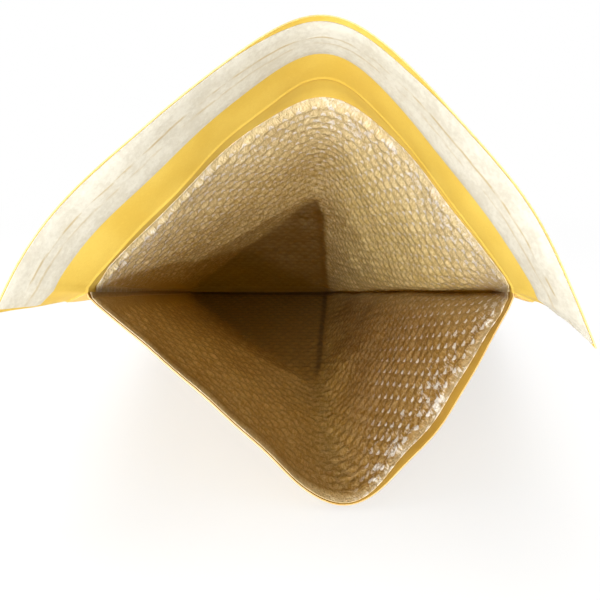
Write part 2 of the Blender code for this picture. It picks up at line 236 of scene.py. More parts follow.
def panel_points(panel, depths, flats):
    """The middle surface of a panel on a grid of flat positions, seals included."""
    half = POCKET_WIDTH / 2
    flats = np.asarray(flats)
    depths = np.asarray(depths)
    rows = []
    for depth in depths:
        line = resample(section(panel, depth / POCKET_DEPTH), SAMPLES)[0]
        row = across(line, np.clip(flats / half, -1, 1))
        droop = math.radians(SEAL_DROOP) * (1 - smoothstep(depth / KNEE_DEPTH))
        past = np.clip(np.abs(flats) - half, 0, None)[:, None]
        outward = np.stack([np.sign(flats) * math.cos(droop), -np.full(len(flats), math.sin(droop)),
                            np.zeros(len(flats))], axis=1)
        rows.append(row + past * outward)
    grid = np.array(rows)
    inward = smoothstep((half - np.abs(flats)) / (3 * CRUSH_LENGTH))
    clear = smoothstep((POCKET_DEPTH - depths) / (5 * CRUSH_LENGTH))[:, None] * inward[None, :]
    uneven = COCKLE * clear * waves(panel, depths, flats, COCKLE_LENGTH)
    return grid + normals(grid, SIDES[panel]) * uneven[..., None]


def flap_edge(flats):
    """The free edge of the flap, as an arch from its left end to its right."""
    left = SEAM_LEFT + [-FLAP_LEFT_FLARE, -FLAP_LEFT_DROP, -FLAP_LENGTH]
    right = SEAM_RIGHT + [FLAP_RIGHT_FLARE, -FLAP_RIGHT_DROP, -FLAP_LENGTH]
    crest = RIDGES["back"][0] + [FLAP_CREST_SHIFT, FLAP_RISE, -FLAP_LENGTH]
    arch = [left, SEAM_LEFT + [*FLAP_LEFT_SHOULDER, -FLAP_LENGTH], crest,
            SEAM_RIGHT + [*FLAP_RIGHT_SHOULDER, -FLAP_LENGTH], right]
    line = resample(rounded(arch, FLAP_ROUNDING), SAMPLES)[0]
    return across(line, np.asarray(flats) / (POCKET_WIDTH / 2 + SEAL_WIDTH))


def film_thickness(flats, depths):
    """The film is full in the open and crushed thin at its side seals and its fold."""
    from_seal = FILM_HALF - np.abs(np.asarray(flats))
    from_rim = np.asarray(depths)
    seal = lerp(FILM_AT_SEAL, FILM, smoothstep(from_seal / CRUSH_LENGTH))
    fold = lerp(FILM_AT_FOLD, FILM, smoothstep((POCKET_DEPTH - from_rim) / CRUSH_LENGTH))
    rim = lerp(FILM_AT_RIM, FILM, smoothstep(from_rim / CRUSH_LENGTH))
    return np.minimum(np.minimum(fold, rim)[:, None], seal[None, :])


def to_world(points, floor):
    """Local (across, height, depth) turned so that the keel and the fold lie on the table."""
    x, h, d = np.moveaxis(np.asarray(points, float), -1, 0)
    lift = KEEL_AT_FOLD - FOLD_PRESS
    y = (d - REST_DEPTH) * math.cos(TABLE_TILT) + h * math.sin(TABLE_TILT)
    z = (POCKET_DEPTH - d) * math.sin(TABLE_TILT) + (h + lift) * math.cos(TABLE_TILT)
    return np.stack([x - REST_ACROSS, y, np.maximum(z, floor)], axis=-1)


def kraft_inside(panel, depths, flats):
    """The inner face of the kraft over the pocket, clear of the film."""
    middle = panel_points(panel, depths, flats)
    lift = film_thickness(flats, depths) + 2 * GAP
    lift *= np.clip((POCKET_WIDTH / 2 - np.abs(np.asarray(flats))) / SEAL_CLEARANCE, 0, 1)
    return middle + normals(middle, SIDES[panel]) * lift[..., None]


def flap_inside(flats, reaches):
    """The inner face of the flap at the given distances past the score line.

    On the right the flap starts along the pocket and then curls away from it."""
    mouth = kraft_inside("back", POCKET_ROWS[:2], flats)[0]
    edge = flap_edge(flats)
    curl = 1 + FLAP_CURL * smoothstep(np.asarray(flats) / (POCKET_WIDTH / 4))
    share = np.asarray(reaches)[:, None] / FLAP_LENGTH
    face = lerp(mouth[None], edge[None], share[..., None])
    face[..., :2] = lerp(mouth[None, :, :2], edge[None, :, :2], (share ** curl)[..., None])
    loose = smoothstep(np.asarray(reaches) / FLAP_LENGTH)[:, None]
    uneven = FLAP_COCKLE * loose * waves("flap", reaches, flats, COCKLE_LENGTH)
    return face + normals(face, -SIDES["back"]) * uneven[..., None]


def kraft_layers(flats):
    """Inner and outer faces of the sheet, from the flap's edge to the front rim, and its lengths."""
    back = kraft_inside("back", POCKET_ROWS, flats)
    back = np.concatenate([flap_inside(flats, FLAP_ROWS)[:-1], back])
    front = kraft_inside("front", POCKET_ROWS, flats)
    lengths = np.concatenate([-np.array(FLAP_ROWS[:-1]), POCKET_ROWS])
    bead = SCORE_BEAD * np.exp(-(lengths / SCORE_WIDTH) ** 2)[:, None, None]
    outward = normals(back, SIDES["back"])
    back = back - outward * bead
    back_out = back + outward * KRAFT
    front_out = front + normals(front, SIDES["front"]) * KRAFT
    fold = (back[-1] + front[-1]) / 2 + [0, 0, FILM_AT_FOLD + FOLD_PUSH + GAP]
    seal = np.abs(np.asarray(flats)) >= POCKET_WIDTH / 2 - 1e-9
    fold[seal] = back[-1][seal]
    inner = np.concatenate([back, fold[None], front[::-1]])
    outer = np.concatenate([back_out, fold[None] + [0, 0, KRAFT], front_out[::-1]])
    run = 2 * POCKET_DEPTH + 2 * FOLD_PUSH
    lengths = np.concatenate([lengths, [run / 2], run - np.array(POCKET_ROWS[::-1])])
    return to_world(inner, KRAFT), to_world(outer, 0.0), lengths


WELD = 0.002 * MM
SHARP_ANGLE = 75


def sheet(name, inner, outer, flats, lengths, side_of, dropped=None, shade=None):
    """A two-faced sheet: a flat grid, raised to its thickness and then folded into place.

    side_of(row, column, layer) gives a face's material, and dropped says which faces are lost
    where the sheet is bonded. The UV map holds the flat positions, in metres, and the attribute
    shade holds the number that each grid point has in the shade given."""
    rows, columns = inner.shape[:2]
    mesh = bmesh.new()
    bmesh.ops.create_grid(mesh, x_segments=columns - 1, y_segments=rows - 1, size=1.0)
    for vert in mesh.verts:
        vert.co.x = round((vert.co.x + 1) / 2 * (columns - 1))
        vert.co.y = round((vert.co.y + 1) / 2 * (rows - 1))
    raised = bmesh.ops.extrude_face_region(mesh, geom=mesh.faces[:], use_keep_orig=True)
    top = [item for item in raised["geom"] if isinstance(item, bmesh.types.BMVert)]
    bmesh.ops.translate(mesh, verts=top, vec=(0, 0, 1))
    flat_map = mesh.loops.layers.uv.new("flat")
    lost = []
    for face in mesh.faces:
        middle = face.calc_center_median()
        face.material_index = side_of(middle.y, middle.x, middle.z)
        if dropped and dropped(middle.y, middle.x, middle.z):
            lost.append(face)
        for loop in face.loops:
            at = loop.vert.co
            loop[flat_map].uv = flats[round(at.x)], lengths[round(at.y)]
    bmesh.ops.delete(mesh, geom=lost, context="FACES")
    shades = mesh.verts.layers.float.new("shade")
    for vert in mesh.verts:
        layer = outer if vert.co.z > 0.5 else inner
        row, column = round(vert.co.y), round(vert.co.x)
        if shade is not None:
            vert[shades] = shade[row, column]
        vert.co = layer[row, column]
    bmesh.ops.remove_doubles(mesh, verts=mesh.verts, dist=WELD)
    bmesh.ops.dissolve_degenerate(mesh, edges=mesh.edges, dist=WELD / 2)
    bmesh.ops.recalc_face_normals(mesh, faces=mesh.faces)
    data = bpy.data.meshes.new(name)
    mesh.to_mesh(data)
    mesh.free()
    data.shade_smooth()
    data.set_sharp_from_angle(angle=math.radians(SHARP_ANGLE))
    piece = bpy.data.objects.new(name, data)
    bpy.context.scene.collection.objects.link(piece)
    return piece


class Pattern:
    """A value in a material's node tree, on which sums and products can be written."""

    def __init__(self, finish, socket):
        self.finish = finish
        self.socket = socket

    def __add__(self, other):
        return self.finish.maths("ADD", self, other)

    def __radd__(self, other):
        return self.finish.maths("ADD", other, self)

    def __sub__(self, other):
        return self.finish.maths("SUBTRACT", self, other)

    def __rsub__(self, other):
        return self.finish.maths("SUBTRACT", other, self)

    def __mul__(self, other):
        return self.finish.maths("MULTIPLY", self, other)

    def __rmul__(self, other):
        return self.finish.maths("MULTIPLY", other, self)

    def __truediv__(self, other):
        return self.finish.maths("DIVIDE", self, other)

    def __rtruediv__(self, other):
        return self.finish.maths("DIVIDE", other, self)


class Finish:
    """One material being made up from nodes, or the white surround."""

    def __init__(self, name, made_in=bpy.data.materials, shader="Principled BSDF",
                 output="Material Output"):
        self.data = made_in.new(name)
        self.data.use_nodes = True
        self.tree = self.data.node_tree
        self.shader = self.tree.nodes[shader]
        self.output = self.tree.nodes[output]

    def feed(self, socket, value):
        if isinstance(value, Pattern):
            self.tree.links.new(value.socket, socket)
        else:
            socket.default_value = value

    def node(self, kind, settings=None, inputs=None, output=0):
        """Any node, with its settings made first and then its sockets fed."""
        made = self.tree.nodes.new(kind)
        for name, value in (settings or {}).items():
            setattr(made, name, value)
        for socket, value in (inputs or {}).items():
            self.feed(made.inputs[socket], value)
        return Pattern(self, made.outputs[output])

    def beside(self, pattern, output):
        """Another output of the node that a pattern comes from."""
        return Pattern(self, pattern.socket.node.outputs[output])

    def own_place(self):
        """The place on the object, in metres."""
        return self.node("ShaderNodeTexCoord", output="Object")

    def flat_place(self):
        """The place on the sheet as it lies flat: both parts, and each part by itself."""
        flat = self.node("ShaderNodeUVMap", {"uv_map": "flat"})
        parts = self.node("ShaderNodeSeparateXYZ", {}, {0: flat})
        return flat, parts, self.beside(parts, "Y")

    def maths(self, operation, *values):
        return self.node("ShaderNodeMath", {"operation": operation}, dict(enumerate(values)))

    def band(self, value, low, high):
        """0 below low, 1 above high, and a smooth step between them."""
        return self.node("ShaderNodeMapRange", {"interpolation_type": "SMOOTHSTEP"},
                         {"Value": value, "From Min": low, "From Max": high})

    def noise(self, place, scale, detail=2.0, roughness=0.5, distortion=0.0):
        return self.node("ShaderNodeTexNoise", {}, {
            "Vector": place, "Scale": scale, "Detail": detail, "Roughness": roughness,
            "Distortion": distortion})

    def blend(self, share, first, second):
        """A mix of two colours."""
        return self.node("ShaderNodeMix", {"data_type": "RGBA"}, {0: share, 6: first, 7: second},
                         output=2)

    def stretched(self, place, scales):
        return self.node("ShaderNodeVectorMath", {"operation": "MULTIPLY"}, {0: place, 1: scales})

    def bump(self, height, distance):
        """Relief that is distance high where height goes from 0 to 1."""
        made = self.node("ShaderNodeBump", {}, {
            "Height": height, "Distance": distance, "Strength": 1.0})
        self.feed(self.shader.inputs["Normal"], made)

    def set(self, **values):
        for name, value in values.items():
            self.feed(self.shader.inputs[name.replace("_", " ").title().replace("Ior", "IOR")], value)

    def mix_in(self, share, other):
        """Another shader takes over a share of the main one."""
        own = Pattern(self, self.shader.outputs[0])
        mixed = self.node("ShaderNodeMixShader", {}, {0: share, 1: own, 2: other})
        self.tree.links.new(mixed.socket, self.output.inputs["Surface"])

    def let_light_through(self, colour, share):
        """A thin sheet glows with the light that falls on its other face."""
        self.mix_in(share, self.node("ShaderNodeBsdfTranslucent", {}, {"Color": colour}))


def paint(red, green, blue):
    """A colour as it is seen, 0 to 255, turned into light."""
    def light(level):
        level /= 255
        return level / 12.92 if level <= 0.04045 else ((level + 0.055) / 1.055) ** 2.4
    return light(red), light(green), light(blue), 1.0


FLAP_YELLOW = paint(215, 187, 88)
FLAP_AMBER = paint(202, 169, 69)
OUTSIDE_STRAW = paint(242, 210, 122)
OUTSIDE_OCHRE = paint(232, 194, 98)
EDGE_CREAM = paint(232, 214, 160)
EDGE_TAN = paint(206, 178, 112)
# Painted shade in the score line's groove.
SCORE_PAINTED_SHADE = paint(196, 136, 28)
# Painted shade along the inside of the front rim.
RIM_PAINTED_SHADE = paint(168, 112, 34)
SCORE_GROOVE = 1.1 * MM
CRIMP_PITCH = 1.8 * MM
KRAFT_RELIEF = 0.35 * MM
BUBBLE_PITCH = 8 * MM
BUBBLE_ROW = BUBBLE_PITCH * math.sqrt(3) / 2
BUBBLE_RADIUS = 3.8 * MM
BUBBLE_TOP = 1.2 * MM


def bubble_rounds(finish, u, v, inside, outside):
    """1 within the distance inside of each bubble's middle and 0 from outside on."""
    tops = []
    for shift in (0.0, 0.5):
        du = (finish.maths("FRACT", u / BUBBLE_PITCH + shift) - 0.5) * BUBBLE_PITCH
        dv = (finish.maths("FRACT", v / (2 * BUBBLE_ROW) + shift) - 0.5) * (2 * BUBBLE_ROW)
        away = finish.maths("SQRT", du * du + dv * dv)
        tops.append(1 - finish.band(away, inside, outside))
    return finish.maths("MAXIMUM", *tops)


def kraft_finish(name, light, dark, see_through, pressed):
    """Golden kraft. pressed is how far the film's bubbles and the seals show as relief.

    The inner face is painted browner along the front rim, as painted shade."""
    finish = Finish(name)
    place = finish.own_place()
    flat, u, v = finish.flat_place()
    clouds = finish.noise(place, 28, 4, 0.55)
    fibres = finish.noise(finish.stretched(flat, (700, 2300, 1)), 1.0, 3, 0.6, 0.4)
    specks = finish.noise(place, 1500, 2, 0.5)
    tone = finish.band(clouds * 0.55 + fibres * 0.30 + specks * 0.15, 0.36, 0.62)
    colour = finish.blend(tone, dark, light)

    # The seals, and painted shade in the score line's groove and along the front rim.
    off_seam = finish.maths("ABSOLUTE", u)
    seal = finish.band(off_seam, POCKET_WIDTH / 2 - 0.8 * MM, POCKET_WIDTH / 2 + 0.6 * MM)
    score = 1 - finish.band(finish.maths("ABSOLUTE", v - SCORE_GROOVE), 0.2 * MM, 1.3 * MM)
    colour = finish.blend(score * 0.35, colour, SCORE_PAINTED_SHADE)
    front_rim_shade = finish.band(v, 2 * POCKET_DEPTH - 30 * MM, 2 * POCKET_DEPTH - 12 * MM)
    colour = finish.blend(front_rim_shade * 0.5 * (1 - pressed), colour, RIM_PAINTED_SHADE)
    colour = finish.blend(seal * 0.25, colour, dark)

    # Relief of the paper, the crimped seals and the bubbles behind it.
    crimp = finish.maths("SINE", v * (2 * math.pi / CRIMP_PITCH)) * 0.5 + 0.5
    relief = fibres * 0.05 + clouds * 0.25 + seal * crimp * 0.45 * pressed
    if pressed:
        bubbles = bubble_rounds(finish, u, v, BUBBLE_TOP, BUBBLE_RADIUS)
        relief = relief + bubbles * (1 - seal) * 0.35 * pressed
    finish.bump(relief, KRAFT_RELIEF)
    finish.set(base_color=colour, roughness=0.46 + tone * 0.14, specular_ior_level=0.42)
    finish.let_light_through(light, see_through)
    return finish.data


# How far in from the rim the film is cut, which runs askew, and where it covers the kraft.
BACK_SETBACK = 10 * MM
BACK_SETBACK_RIGHT = 3.5 * MM
BACK_ASKEW_FROM = -20 * MM
BACK_ASKEW_RUN = 90 * MM
FRONT_SETBACK = 0.7 * MM
FRONT_SETBACK_RIGHT = 8 * MM
FRONT_ASKEW_FROM = 15 * MM
FRONT_ASKEW_RUN = 40 * MM
CREST_FLAT = 12 * MM
CREST_CUT = 11 * MM
CREST_CUT_WIDTH = 34 * MM
COVERED_FROM = 2 * MM

kraft_in, kraft_out, kraft_lengths = kraft_layers(KRAFT_COLUMNS)
SCORE_ROW = len(FLAP_ROWS) - 1
LAST_COLUMN = len(KRAFT_COLUMNS) - 1
SEAL_CELLS = len(SEAL_COLUMNS) - 1


def film_starts(panel, flats):
    """How deep in the mouth the film's cut edge lies at each column.

    It runs askew on both panels, and on the back it is cut deepest under the crest."""
    if panel == "front":
        right = smoothstep((flats - FRONT_ASKEW_FROM) / FRONT_ASKEW_RUN)
        return lerp(FRONT_SETBACK, FRONT_SETBACK_RIGHT, right)
    right = smoothstep((flats - BACK_ASKEW_FROM) / BACK_ASKEW_RUN)
    crest = np.exp(-((flats - CREST_FLAT) / CREST_CUT_WIDTH) ** 2)
    return lerp(BACK_SETBACK, BACK_SETBACK_RIGHT, right) + CREST_CUT * crest


FILM_START = SCORE_ROW + 1 + np.searchsorted(
    POCKET_ROWS, film_starts("back", KRAFT_COLUMNS) + COVERED_FROM)
FILM_END = len(kraft_lengths) - 2 - np.searchsorted(
    POCKET_ROWS, film_starts("front", KRAFT_COLUMNS) + COVERED_FROM)


def kraft_side(row, column, layer):
    """0 the open inner face, 1 the outer face, 2 the cut edge, 3 what the film covers."""
    if 0.1 < layer < 0.9:
        return 2
    if layer > 0.9:
        return 1
    in_film = FILM_START[int(column)] < row < FILM_END[int(column)]
    return 3 if in_film and SEAL_CELLS + 1 < column < LAST_COLUMN - SEAL_CELLS - 1 else 0


def in_seal(row, column, layer):
    """The inner face over the two side seals of the pocket, where back and front are bonded."""
    at_side = column < SEAL_CELLS or column > LAST_COLUMN - SEAL_CELLS
    return layer < 0.1 and row > SCORE_ROW and at_side


kraft = sheet("kraft_sheet", kraft_in, kraft_out, KRAFT_COLUMNS, kraft_lengths, kraft_side, in_seal)
for made in (kraft_finish("kraft_inner_face", FLAP_YELLOW, FLAP_AMBER, 0.12, 0.0),
             kraft_finish("kraft_outer_face", OUTSIDE_STRAW, OUTSIDE_OCHRE, 0.20, 1.0),
             kraft_finish("kraft_cut_edge", EDGE_CREAM, EDGE_TAN, 0.05, 0.0),
             kraft_finish("kraft_under_film", FLAP_YELLOW, FLAP_AMBER, 0.92, 0.0)):
    kraft.data.materials.append(made)
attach(kraft, "root")
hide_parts("kraft_outer")

# Bubble film
# A pouch of clear bubble film inside the kraft, folded at the bottom with the kraft. Its bubbles
# face inwards, in staggered rows across the pocket, and its sides are melted into the seals.

RIM_FLAT = 2.5 * MM
FILM_EDGE = 0.8 * MM
VALLEY_FILM = 1.8 * MM
FILM_RIM_EDGE = 0.3 * MM
STEPS_ACROSS = 6
STEPS_ALONG = 4
DOME_SQUARENESS = 2.0
DOME_SLUMP = 0.8
# Spread of the painted shade on the pocket's far end, and width of its crease.
FLOOR_BLUR_LEFT = 14 * MM
FLOOR_BLUR_RIGHT = 4 * MM
CREASE_WIDTH = 3 * MM
CRINKLE_RELIEF = 2.6 * MM


def bubble_heights(rows, columns, seed):
    """How far each grid point stands up from the base film, 0 to 1, over staggered domes."""
    chance = random.Random(seed)
    row, column = np.meshgrid(np.arange(rows), np.arange(columns), indexing="ij")
    nearest_row = np.round(row / STEPS_ALONG)
    heights = np.zeros(row.shape)
    for side_step in (-1, 0, 1):
        centre_row = nearest_row + side_step
        shift = np.where(centre_row % 2 == 0, 0.0, 0.5)
        centre_column = np.round(column / STEPS_ACROSS - shift) + shift
        du = (column / STEPS_ACROSS - centre_column) * BUBBLE_PITCH
        dv = (row / STEPS_ALONG - centre_row) * BUBBLE_ROW
        away = np.sqrt(du ** 2 + dv ** 2) / BUBBLE_RADIUS
        dome = np.clip(1 - away ** DOME_SQUARENESS, 0, 1) ** DOME_SLUMP
        heights = np.maximum(heights, dome)
    full = [[chance.uniform(0.45, 1.0) for _ in range(2 * (columns // STEPS_ACROSS + 3))]
            for _ in range(rows // STEPS_ALONG + 3)]
    fullness = np.array(full)
    bubble_row = np.clip(nearest_row.astype(int), 0, len(full) - 1)
    bubble_column = np.clip(np.round(column / STEPS_ACROSS * 2).astype(int), 0, fullness.shape[1] - 1)
    return heights * fullness[bubble_row, bubble_column]


def flat_wall(panel, depths, flats, thick):
    """Inner and outer faces of one wall without bubbles, its sides rooted in the seals."""
    middle = panel_points(panel, depths, flats)
    normal = normals(middle, SIDES[panel])
    tops = middle + normal * GAP
    base = middle + normal * (GAP + thick)[..., None]
    seam = panel_points(panel, depths, [-POCKET_WIDTH / 2, POCKET_WIDTH / 2])
    for column, way in ((0, -1), (-1, 1)):
        root = seam[:, column] - [way * SEAL_CLEARANCE, 0, 0]
        tops[:, column] = root
        base[:, column] = root + [way * FILM_EDGE, 0, 0]
    return tops, base


def cut_askew(panel, tops, base, thick, depths, flats):
    """The wall's lines slid along it, so that the first one is the film's cut edge."""
    thick = thick.copy()
    share = (depths - depths[0]) / (depths[-1] - depths[0])
    for column, start in enumerate(film_starts(panel, flats)):
        at = lerp(start, POCKET_DEPTH, share)
        for k in range(3):
            tops[:, column, k] = np.interp(at, depths, tops[:, column, k])
            base[:, column, k] = np.interp(at, depths, base[:, column, k])
        thick[:, column] = np.interp(at, depths, thick[:, column])
    return tops, base, thick


def with_bubbles(tops, base, thick, seed):
    """The wall's inner face, flat at the rim and raised to its domes further in."""
    rows, columns = thick.shape
    heights = bubble_heights(rows, columns, seed)
    from_rim = np.arange(rows)[:, None] * BUBBLE_ROW / STEPS_ALONG
    heights *= smoothstep((from_rim - RIM_FLAT) / RIM_FLAT) * smoothstep(thick / FILM * 1.15)
    valley = lerp(FILM_RIM_EDGE, VALLEY_FILM, smoothstep(from_rim / (3 * RIM_FLAT)))
    up = np.clip(lerp(valley / thick, 1.0, heights), 0, 1)
    up[:, [0, -1]] = 1.0
    up[-1] = 1.0
    return lerp(base, tops, up[..., None])


def film_walls():
    """Domed inner face and flat outer face of both walls of the pouch, from rim to fold."""
    columns = 2 * round(FILM_HALF / BUBBLE_PITCH * STEPS_ACROSS) + 1
    rows = round((POCKET_DEPTH - FRONT_SETBACK) / BUBBLE_ROW * STEPS_ALONG) + 1
    flats = np.linspace(-FILM_HALF, FILM_HALF, columns)
    depths = np.linspace(FRONT_SETBACK, POCKET_DEPTH, rows)
    thick = film_thickness(flats, depths)
    walls = {}
    for panel in SIDES:
        tops, base = flat_wall(panel, depths, flats, thick)
        walls[panel] = cut_askew(panel, tops, base, thick, depths, flats)
    fold_top = (walls["back"][0][-1] + walls["front"][0][-1]) / 2 + [0, 0, GAP]
    fold_base = (walls["back"][1][-1] + walls["front"][1][-1]) / 2 + [0, 0, FILM_AT_FOLD + GAP]
    faces = {}
    for panel, (tops, base, wall_thick) in walls.items():
        for column in (0, -1):
            fold_top[column] = tops[-1, column]
            fold_base[column] = base[-1, column]
        tops = np.concatenate([tops, fold_top[None]])
        base = np.concatenate([base, fold_base[None]])
        wall_thick = np.concatenate([wall_thick, wall_thick[-1:]])
        tops = to_world(tops, KRAFT + GAP + wall_thick)
        base = to_world(base, KRAFT + GAP)
        faces[panel] = with_bubbles(tops, base, wall_thick, WAVE_SEEDS[panel]), base
    lengths = np.arange(rows + 1) * BUBBLE_ROW / STEPS_ALONG
    return faces, flats, lengths


def far_end_shade(panel, flats, lengths):
    """Painted shade: 1 on the flat far end of the pocket, up to 2 in the crease at its right,
    and 0 elsewhere.
    """
    floor = np.zeros((len(lengths), len(flats)))
    knee = RIDGES[panel][1]
    for row, depth in enumerate(lengths):
        v = min(depth / POCKET_DEPTH, 1.0)
        if v <= KNEE:
            continue
        past = (v - KNEE) / (1 - KNEE)
        corners = [lerp(SEAM_LEFT, FOLD_LEFT, v), lerp(knee, FOLD_LEFT, past),
                   lerp(knee, PINCH_END, past), lerp(SEAM_RIGHT, PINCH_END, v),
                   lerp(SEAM_RIGHT, FOLD_RIGHT, v)]
        steps = np.linalg.norm(np.diff(corners, axis=0), axis=1)
        at = (np.concatenate([[0], np.cumsum(steps)]) / steps.sum() - 0.5) * POCKET_WIDTH
        floor[row] = smoothstep((flats - at[1]) / FLOOR_BLUR_LEFT + 0.8)
        floor[row] *= smoothstep((at[2] - flats) / FLOOR_BLUR_RIGHT + 0.3)
        floor[row] += smoothstep(past * 6) * np.exp(-((flats - at[2]) / CREASE_WIDTH) ** 2)
    return floor


def film_side(row, column, layer):
    """1 the flat outer face, 0 the domed inner face and the cut edges."""
    return 1 if layer > 0.9 else 0


FILM_MILK = paint(252, 234, 178)
FILM_PALE = paint(255, 244, 206)
FILM_PAINTED_GLINT = paint(255, 253, 246)
FILM_GLOW = paint(250, 236, 168)
# Brown for the film's darker grain and for painted shade in its seams, fold and crease.
FILM_GRAIN_AND_SHADE_BROWN = paint(60, 38, 14)
# One film in lit and shaded copies: the tones from rim to far end, from left to right and on the flat
# far end, and the front's lesser milkiness, are painted light and shade.
BACK_NEAR = paint(248, 228, 170)
BACK_FAR = paint(200, 170, 90)
BACK_FAR_RIGHT_LIT = paint(240, 214, 126)
BACK_FLOOR_SHADE = paint(66, 46, 15)
FRONT_NEAR = paint(168, 126, 44)
FRONT_FAR = paint(204, 160, 68)
FRONT_FAR_RIGHT = paint(160, 116, 44)
FRONT_FLOOR_SHADE = paint(196, 152, 70)
# Colours from rim to far end, milkiness, and the flat position that the painted glints start from.
FILM_LIT_AND_SHADED_COLOURS = {
    "back": (BACK_NEAR, BACK_FAR, BACK_FAR_RIGHT_LIT, BACK_FLOOR_SHADE, 1.0, -1.0),
    "front": (FRONT_NEAR, FRONT_FAR, FRONT_FAR_RIGHT, FRONT_FLOOR_SHADE, 0.4, 150 * MM)}


def film_finish(name, near, far, far_right, floor, milkiness, glint_from):
    """Clear film over golden paper: brown between the bubbles, milky and glossy on them.

    near and far are its colours at the rim and inside, far_right the one inside on the right,
    and floor its colour at the flat far end, all painted light and shade. milkiness is how much
    white the bubbles add, and painted glints stand on the bubbles to the right of the flat
    position glint_from."""
    finish = Finish(name)
    place = finish.own_place()
    flat, u, v = finish.flat_place()
    shade = finish.node("ShaderNodeAttribute", {"attribute_name": "shade"}, output="Fac")
    domes = bubble_rounds(finish, u, v, BUBBLE_TOP, BUBBLE_RADIUS)
    dots = bubble_rounds(finish, u, v, 0.5 * MM, 1.9 * MM)
    haze = finish.noise(place, 60, 3, 0.6)
    crinkle = finish.noise(place, 420, 3, 0.65, 0.6)
    strokes = finish.noise(finish.stretched(flat, (700, 240, 1)), 1.0, 2, 0.6, 0.8)

    # Painted light and shade from rim to far end, under milky haze and the crumpled film's grain.
    inside = finish.blend(finish.band(u, FILM_HALF, FILM_HALF + 35 * MM), far, far_right)
    colour = finish.blend(finish.band(v, 4 * MM, 95 * MM), near, inside)
    colour = finish.blend(shade, colour, floor)
    milky = finish.band(domes * 0.15 + haze * 0.4 + crinkle * 0.6, 0.40, 0.80)
    colour = finish.blend(milky * 0.25 * milkiness, colour, FILM_MILK)
    grain = finish.band(strokes * 0.75 + crinkle * 0.25, 0.40, 0.60)
    colour = finish.blend(grain, finish.blend(0.26, colour, FILM_GRAIN_AND_SHADE_BROWN),
                          finish.blend((1 - shade) * 0.42 * milkiness, colour, FILM_PALE))

    # Painted glints: painted highlights on the bubbles near the rim.
    lit = finish.band(u - v * 0.27, glint_from - 5 * MM, glint_from + 8 * MM)
    lit = lit * (1 - finish.band(v, 45 * MM, 150 * MM)) * (1 - shade)
    picked = finish.noise(place, 110, 2, 0.6)
    by_rim = 1 - finish.band(v, 12 * MM, 60 * MM)
    sparkle = dots * 0.45 + picked * 0.6 + strokes * 0.6 + by_rim * 0.16
    glints = finish.band(sparkle, 0.76, 0.94) * lit
    colour = finish.blend(glints * 0.95, colour, FILM_PAINTED_GLINT)

    # Painted light along the cut edge, and painted shade in the seams, the fold and the crease.
    cut = 1 - finish.band(v + crinkle * (7 * MM), 10 * MM, 17 * MM)
    colour = finish.blend(cut * 0.40, colour, FILM_PALE)
    off_middle = finish.maths("ABSOLUTE", u - FILM_HALF)
    seam = finish.band(off_middle, FILM_HALF - 2.4 * MM, FILM_HALF - 0.3 * MM)
    fold = finish.band(v, POCKET_DEPTH - 9 * MM, POCKET_DEPTH - 1 * MM)
    joint = finish.maths("MAXIMUM", seam * 0.8, fold * 0.8)
    colour = finish.blend(joint * 0.9, colour, FILM_GRAIN_AND_SHADE_BROWN)
    crease = finish.band(shade, 0.9, 1.5)
    colour = finish.blend(crease * 0.7, colour, FILM_GRAIN_AND_SHADE_BROWN)
    finish.bump(crinkle * 0.65 + strokes * 0.35, CRINKLE_RELIEF)
    finish.set(base_color=colour, roughness=0.14 + haze * 0.12 + joint * 0.6,
               specular_ior_level=0.8, coat_weight=1 - joint, coat_roughness=0.05)
    finish.let_light_through(FILM_GLOW, 0.25)
    return finish.data


def hidden_film_finish():
    """The flat face of the film, which lies against the kraft and lets its light through."""
    finish = Finish("film_against_kraft")
    place = finish.own_place()
    haze = finish.noise(place, 60, 3, 0.6)
    finish.set(base_color=finish.blend(haze, BACK_FAR, FILM_MILK), roughness=0.3)
    finish.let_light_through(FILM_GLOW, 0.92)
    return finish.data


film_back_face = hidden_film_finish()
film_faces, film_flats, film_lengths = film_walls()
for panel, (domed, base) in film_faces.items():
    film = sheet(f"bubble_film_{panel}", domed, base, film_flats - film_flats[0],
                 film_lengths + BUBBLE_ROW, film_side,
                 shade=far_end_shade(panel, film_flats, film_lengths))
    film_face = film_finish(f"bubble_film_{panel}_domes", *FILM_LIT_AND_SHADED_COLOURS[panel])
    for made in (film_face, film_back_face):
        film.data.materials.append(made)
    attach(film, "root")
    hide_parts("bubble_liner")

# Adhesive strip
# A band of tacky hot-melt glue along the inside of the flap, rolled on in the machine. The release
# liner covers it until the envelope is closed.

STRIP_INSET = 3 * MM
RELEASE_WIDTH = 24 * MM
RELEASE_END = 1.5 * MM
RELEASE_THICKNESS = 0.25 * MM
ADHESIVE_WIDTH = 18 * MM
ADHESIVE_END = 12 * MM
ADHESIVE_THICKNESS = 0.3 * MM
GLUE_CLEARANCE = 0.1 * MM
GLUE_STEPS = 9
GLUE_AMBER = paint(226, 196, 128)
GLUE_CREAM = paint(240, 220, 168)
STRIP_MIDDLE = FLAP_LENGTH - STRIP_INSET - RELEASE_WIDTH / 2
STRIP_COLUMNS = 150
CREST_HALF = 18 * MM
CREST_RUN = 30 * MM


